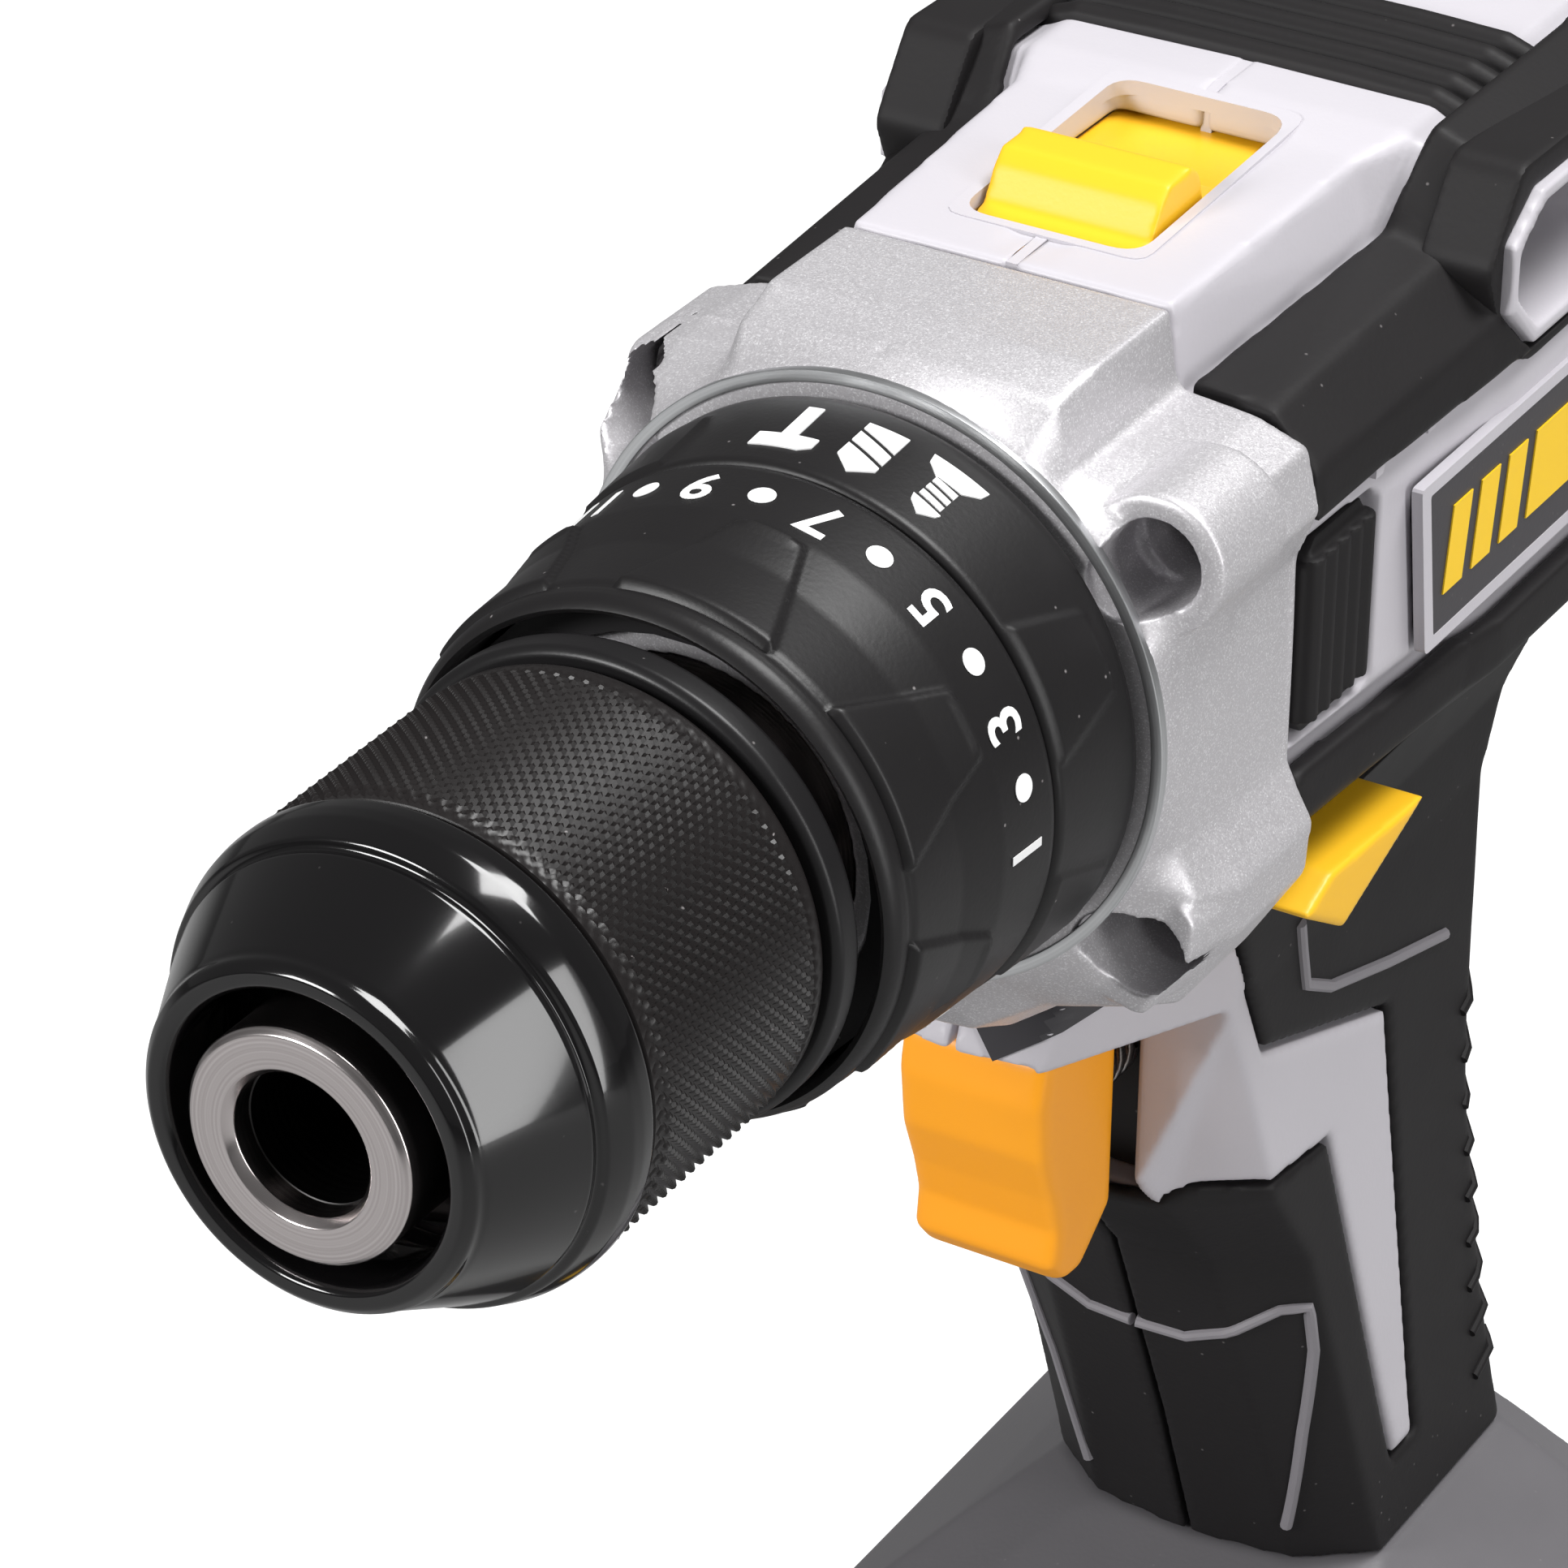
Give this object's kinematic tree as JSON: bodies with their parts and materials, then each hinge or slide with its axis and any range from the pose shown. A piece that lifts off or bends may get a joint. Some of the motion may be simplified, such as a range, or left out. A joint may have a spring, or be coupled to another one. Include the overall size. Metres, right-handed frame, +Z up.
{
  "type": "cordless drill",
  "caption": "Cordless drill driver: keyless chuck on a planetary gearbox with a clutch ring and mode ring, in a pistol-grip housing with a trigger and a slide-off battery.",
  "frame": {"origin": "centre of the battery's flat base, which the drill stands on", "axes": "+Z up from the base, -Y the way the chuck points, +X the side of the right-hand housing half"},
  "size_m": [0.063, 0.186, 0.2036],
  "materials": {
    "ground_steel": "turned and ground",
    "dark_steel": "oiled black",
    "gloss_black": "polished",
    "knurled_black": "diamond knurl",
    "matt_black": "fine moulded grain",
    "painted_alloy": "cast, silver paint",
    "pale_grey_plastic": "fine moulded grain",
    "dark_grey_plastic": "fine moulded grain",
    "black_rubber": "soft overmould",
    "yellow_plastic": "moulded",
    "orange_plastic": "moulded",
    "sintered_steel": "sintered",
    "nylon": "moulded",
    "copper_winding": "enamelled wire",
    "motor_steel": "plated sheet",
    "name_plate": "printed plate",
    "brass_gear": "cut",
    "cell_can": "shrink-wrapped can"
  },
  "bodies": {
    "housing": {"gear_housing": "painted_alloy", "gear_housing_screw_1": "dark_steel", "gear_housing_screw_2": "dark_steel", "gear_housing_screw_3": "dark_steel", "gear_housing_screw_4": "dark_steel", "gearbox_case": "nylon", "output_ring_gear": "sintered_steel", "ratchet_fixed": "sintered_steel", "front_bearing": "ground_steel", "clutch_spring": "ground_steel", "motor_can": "motor_steel", "motor_end_cap": "matt_black", "housing_right": "pale_grey_plastic", "housing_left": "pale_grey_plastic", "flank_rubber_right": "black_rubber", "flank_rubber_left": "black_rubber", "grip_rubber_right": "black_rubber", "grip_rubber_left": "black_rubber", "finger_pad_right": "black_rubber", "finger_pad_left": "black_rubber", "name_plate_right": "name_plate", "name_plate_left": "name_plate", "switch_body": "dark_grey_plastic", "trigger_spring": "ground_steel", "battery_foot": "dark_grey_plastic", "terminal_block": "matt_black", "rear_cap": "matt_black"},
    "spindle": {"output_spindle": "ground_steel", "chuck_body": "ground_steel", "chuck_screw": "ground_steel", "chuck_rear_ring": "matt_black", "ratchet_turning": "sintered_steel"},
    "sleeve": {"chuck_hood": "gloss_black", "chuck_sleeve": "knurled_black", "jaw_nut": "dark_steel"},
    "carrier": {"planet_carrier": "sintered_steel"},
    "rotor": {"motor_armature": "copper_winding", "cooling_fan": "matt_black", "motor_pinion": "brass_gear"},
    "torque_ring": {"torque_ring": "matt_black"},
    "mode_ring": {"mode_ring": "matt_black"},
    "clutch_nut": {"clutch_nut": "nylon"},
    "speed_selector": {"speed_slider": "yellow_plastic", "shift_yoke": "ground_steel", "shift_ring_gear": "sintered_steel"},
    "trigger": {"trigger": "orange_plastic"},
    "direction_lever": {"direction_lever": "yellow_plastic"},
    "battery": {"battery_case": "dark_grey_plastic", "battery_lid": "dark_grey_plastic", "battery_cells": "cell_can"},
    "latch": {"battery_latch": "yellow_plastic"},
    "output_planet_1": {"output_planet_1": "sintered_steel"},
    "input_planet_1": {"input_planet_1": "sintered_steel"},
    "jaw_1": {"chuck_jaw_1": "dark_steel"},
    "output_planet_2": {"output_planet_2": "sintered_steel"},
    "input_planet_2": {"input_planet_2": "sintered_steel"},
    "jaw_2": {"chuck_jaw_2": "dark_steel"},
    "output_planet_3": {"output_planet_3": "sintered_steel"},
    "input_planet_3": {"input_planet_3": "sintered_steel"},
    "jaw_3": {"chuck_jaw_3": "dark_steel"}
  },
  "joints": [
    {"name": "spindle_spin", "type": "hinge", "parent": "housing", "child": "spindle", "pos_m": [0, -0.092, 0.175], "axis": [0, 1, 0], "continuous": true},
    {"name": "carrier_spin", "type": "hinge", "parent": "housing", "child": "carrier", "pos_m": [0, -0.043, 0.175], "axis": [0, 1, 0], "continuous": true},
    {"name": "rotor_spin", "type": "hinge", "parent": "housing", "child": "rotor", "pos_m": [0, 0.008, 0.175], "axis": [0, 1, 0], "continuous": true},
    {"name": "output_planet_1_spin", "type": "hinge", "parent": "spindle", "child": "output_planet_1", "pos_m": [0.0108, -0.048, 0.175], "axis": [0, 1, 0], "continuous": true},
    {"name": "input_planet_1_spin", "type": "hinge", "parent": "carrier", "child": "input_planet_1", "pos_m": [0.01029, -0.038, 0.175], "axis": [0, 1, 0], "continuous": true},
    {"name": "output_planet_2_spin", "type": "hinge", "parent": "spindle", "child": "output_planet_2", "pos_m": [-0.0054, -0.048, 0.18435], "axis": [0, 1, 0], "continuous": true},
    {"name": "input_planet_2_spin", "type": "hinge", "parent": "carrier", "child": "input_planet_2", "pos_m": [-0.00514, -0.038, 0.18391], "axis": [0, 1, 0], "continuous": true},
    {"name": "output_planet_3_spin", "type": "hinge", "parent": "spindle", "child": "output_planet_3", "pos_m": [-0.0054, -0.048, 0.16565], "axis": [0, 1, 0], "continuous": true},
    {"name": "input_planet_3_spin", "type": "hinge", "parent": "carrier", "child": "input_planet_3", "pos_m": [-0.00514, -0.038, 0.16609], "axis": [0, 1, 0], "continuous": true},
    {"name": "sleeve_turn", "type": "hinge", "parent": "spindle", "child": "sleeve", "pos_m": [0, -0.112, 0.175], "axis": [0, 1, 0], "range_deg": [0, 2160]},
    {"name": "jaw_1_slide", "type": "slide", "parent": "spindle", "child": "jaw_1", "axis": [0, -0.9563, -0.2924], "range_m": [0, 0.015]},
    {"name": "jaw_2_slide", "type": "slide", "parent": "spindle", "child": "jaw_2", "axis": [0.2532, -0.9563, 0.1462], "range_m": [0, 0.015]},
    {"name": "jaw_3_slide", "type": "slide", "parent": "spindle", "child": "jaw_3", "axis": [-0.2532, -0.9563, 0.1462], "range_m": [0, 0.015]},
    {"name": "torque_ring_turn", "type": "hinge", "parent": "housing", "child": "torque_ring", "pos_m": [0, -0.082, 0.175], "axis": [0, 1, 0], "range_deg": [-90, 218.57]},
    {"name": "clutch_nut_slide", "type": "slide", "parent": "housing", "child": "clutch_nut", "axis": [0, 1, 0], "range_m": [-0.00076, 0.00183]},
    {"name": "mode_ring_turn", "type": "hinge", "parent": "housing", "child": "mode_ring", "pos_m": [0, -0.066, 0.175], "axis": [0, 1, 0], "range_deg": [-30, 0]},
    {"name": "speed_slide", "type": "slide", "parent": "housing", "child": "speed_selector", "axis": [0, 1, 0], "range_m": [0, 0.008]},
    {"name": "trigger_pull", "type": "slide", "parent": "housing", "child": "trigger", "axis": [0, 1, 0], "range_m": [0, 0.006], "stiffness_N_per_m": 700, "springref_m": -0.004, "deforming": ["trigger_spring"]},
    {"name": "direction_slide", "type": "slide", "parent": "housing", "child": "direction_lever", "axis": [1, 0, 0], "range_m": [-0.002, 0.002]},
    {"name": "battery_slide", "type": "slide", "parent": "housing", "child": "battery", "axis": [0, -1, 0], "range_m": [0, 0.085]},
    {"name": "latch_press", "type": "slide", "parent": "battery", "child": "latch", "axis": [0, 1, 0], "range_m": [0, 0.0025], "stiffness_N_per_m": 500, "springref_m": -0.002}
  ],
  "couplings": [
    {"joint": "carrier_spin", "follows": "spindle_spin", "ratio": 4},
    {"joint": "rotor_spin", "follows": "spindle_spin", "ratio": 18},
    {"joint": "output_planet_1_spin", "follows": "spindle_spin", "ratio": -3},
    {"joint": "input_planet_1_spin", "follows": "spindle_spin", "ratio": -11.2},
    {"joint": "output_planet_2_spin", "follows": "spindle_spin", "ratio": -3},
    {"joint": "input_planet_2_spin", "follows": "spindle_spin", "ratio": -11.2},
    {"joint": "output_planet_3_spin", "follows": "spindle_spin", "ratio": -3},
    {"joint": "input_planet_3_spin", "follows": "spindle_spin", "ratio": -11.2},
    {"joint": "jaw_1_slide", "follows": "sleeve_turn", "m_per_rad": 0.00039789},
    {"joint": "jaw_2_slide", "follows": "sleeve_turn", "m_per_rad": 0.00039789},
    {"joint": "jaw_3_slide", "follows": "sleeve_turn", "m_per_rad": 0.00039789},
    {"joint": "clutch_nut_slide", "follows": "torque_ring_turn", "m_per_rad": 0.00047746}
  ]
}
